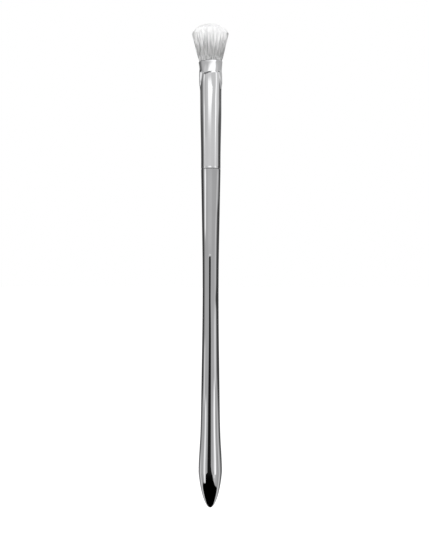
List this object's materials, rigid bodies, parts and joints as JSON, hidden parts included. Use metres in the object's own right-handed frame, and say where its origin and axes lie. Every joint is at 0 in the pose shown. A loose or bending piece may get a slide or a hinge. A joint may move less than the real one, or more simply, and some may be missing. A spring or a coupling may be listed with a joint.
{
  "type": "packing brush",
  "caption": "Slim eye colour packing brush: mirror-bright handle with a pointed butt and a narrow waist, a crimped oval ferrule, and a flared white tuft with a domed end.",
  "frame": {"origin": "tip of the handle's butt, on the brush's axis, which is the lowest point with the bristles up", "axes": "+Z along the brush from the butt to the bristles, +X across the tuft's wide side, -Y out of the wide side that the picture shows"},
  "size_m": [0.013, 0.0092, 0.178],
  "materials": {
    "handle_plating": "mirror-bright chrome plating with faint handling scratches",
    "ferrule_plating": "bright plating, drawn along its length",
    "set_glue": "set amber epoxy, hidden",
    "hair_glue": "set epoxy round the bristle roots, hidden",
    "bristle": "fine white synthetic filament with a soft sheen"
  },
  "bodies": {
    "root": {"handle": "handle_plating", "ferrule": "ferrule_plating", "ferrule_adhesive": "set_glue", "hair_bonding": "hair_glue", "bristle_tuft": "bristle"}
  },
  "joints": []
}
